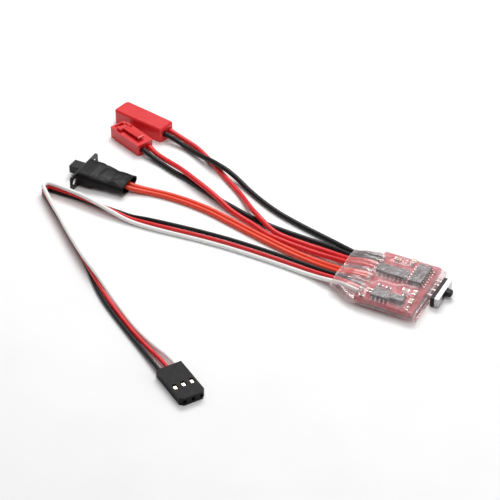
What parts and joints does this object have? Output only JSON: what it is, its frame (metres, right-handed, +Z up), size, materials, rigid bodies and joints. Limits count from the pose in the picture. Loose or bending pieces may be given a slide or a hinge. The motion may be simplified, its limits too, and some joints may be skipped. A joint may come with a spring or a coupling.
{
  "type": "electronic speed controller",
  "caption": "Two-way brushed motor speed controller in clear heat-shrink, with battery, motor and receiver leads and an in-line slide switch.",
  "frame": {"origin": "centre of the circuit board's footprint, on the plane the part rests on", "axes": "+X along the board away from its leads, +Y across the board towards the battery lead, +Z up"},
  "size_m": [0.1313, 0.1159, 0.0057],
  "materials": {
    "solder_mask_board": "satin",
    "chip_package": "matte",
    "tinned_leads": "satin",
    "capacitor_ceramic": "matte",
    "resistor_body": "matte",
    "solder": "satin",
    "led_lens": "gloss",
    "clear_film": "gloss",
    "red_insulation": "satin",
    "black_insulation": "satin",
    "orange_red_insulation": "satin",
    "white_insulation": "satin",
    "copper_core": "satin",
    "switch_plastic": "matte",
    "switch_metal": "satin",
    "contact_metal": "satin",
    "bright_shell": "satin",
    "black_sleeve": "satin",
    "red_plug": "satin",
    "black_plug": "matte"
  },
  "bodies": {
    "controller": {"circuit_board": "solder_mask_board", "microcontroller": "chip_package", "microcontroller_leads": "tinned_leads", "bridge_driver": "chip_package", "bridge_driver_leads": "tinned_leads", "power_mosfets": "chip_package", "power_mosfet_leads": "tinned_leads", "supply_regulator": "chip_package", "supply_regulator_leads": "tinned_leads", "chip_capacitors": "capacitor_ceramic", "chip_resistors": "resistor_body", "chip_terminations": "solder", "status_led": "led_lens", "heat_shrink_tube": "clear_film", "solder_joints": "solder", "battery_wire_red": "red_insulation", "battery_wire_black": "black_insulation", "battery_wire_cores": "copper_core", "motor_wire_red": "red_insulation", "motor_wire_black": "black_insulation", "motor_wire_cores": "copper_core", "switch_wires": "orange_red_insulation", "switch_wire_cores": "copper_core", "servo_wire_black": "black_insulation", "servo_wire_red": "red_insulation", "servo_wire_white": "white_insulation", "servo_wire_cores": "copper_core", "selector_base": "switch_plastic", "selector_shell": "bright_shell", "selector_pins": "tinned_leads"},
    "selector_slider": {"selector_actuator": "switch_plastic", "selector_contact": "contact_metal"},
    "battery_lead_end": {"battery_wire_red_end": "red_insulation", "battery_wire_black_end": "black_insulation", "battery_wire_core_ends": "copper_core", "battery_plug_housing": "red_plug", "battery_plug_contacts": "contact_metal"},
    "motor_lead_end": {"motor_wire_red_end": "red_insulation", "motor_wire_black_end": "black_insulation", "motor_wire_core_ends": "copper_core", "motor_plug_housing": "red_plug", "motor_plug_contacts": "contact_metal"},
    "motor_latch": {"motor_plug_latch": "red_plug"},
    "switch_lead_end": {"switch_wire_ends": "orange_red_insulation", "switch_wire_core_ends": "copper_core", "switch_bracket": "switch_metal", "switch_base": "switch_plastic", "switch_terminals": "contact_metal", "switch_solder": "solder", "switch_sleeve": "black_sleeve"},
    "power_slider": {"switch_slider": "switch_plastic", "switch_contact": "contact_metal"},
    "servo_lead_end": {"servo_wire_black_end": "black_insulation", "servo_wire_red_end": "red_insulation", "servo_wire_white_end": "white_insulation", "servo_wire_core_ends": "copper_core", "servo_plug_housing": "black_plug", "servo_plug_contacts": "contact_metal"}
  },
  "joints": [
    {"name": "power_switch_slide", "type": "slide", "parent": "switch_lead_end", "child": "power_slider", "axis": [0, 1, 0], "range_m": [-0.002, 0]},
    {"name": "brake_selector_slide", "type": "slide", "parent": "controller", "child": "selector_slider", "axis": [0, 1, 0], "range_m": [-0.002, 0]},
    {"name": "motor_plug_latch_press", "type": "hinge", "parent": "motor_lead_end", "child": "motor_latch", "pos_m": [-0.10861, 0.03205, 0.00419], "axis": [0.3746, 0.9272, 0], "range_deg": [0, 4.5]},
    {"name": "battery_lead_bend", "type": "hinge", "parent": "controller", "child": "battery_lead_end", "pos_m": [-0.08738, 0.03634, 0.00196], "axis": [0.3597, 0.933, 0], "range_deg": [0, 60]},
    {"name": "motor_lead_bend", "type": "hinge", "parent": "controller", "child": "motor_lead_end", "pos_m": [-0.08983, 0.02453, 0.00253], "axis": [0.3571, 0.9341, 0], "range_deg": [0, 60]},
    {"name": "switch_lead_bend", "type": "hinge", "parent": "controller", "child": "switch_lead_end", "pos_m": [-0.08311, 0.01001, 0.00145], "axis": [-0.0978, 0.9952, 0], "range_deg": [0, 60]},
    {"name": "servo_lead_swing", "type": "hinge", "parent": "controller", "child": "servo_lead_end", "pos_m": [-0.1155, -0.005, 0.00198], "axis": [0, 0, 1], "range_deg": [-30, 10]}
  ]
}
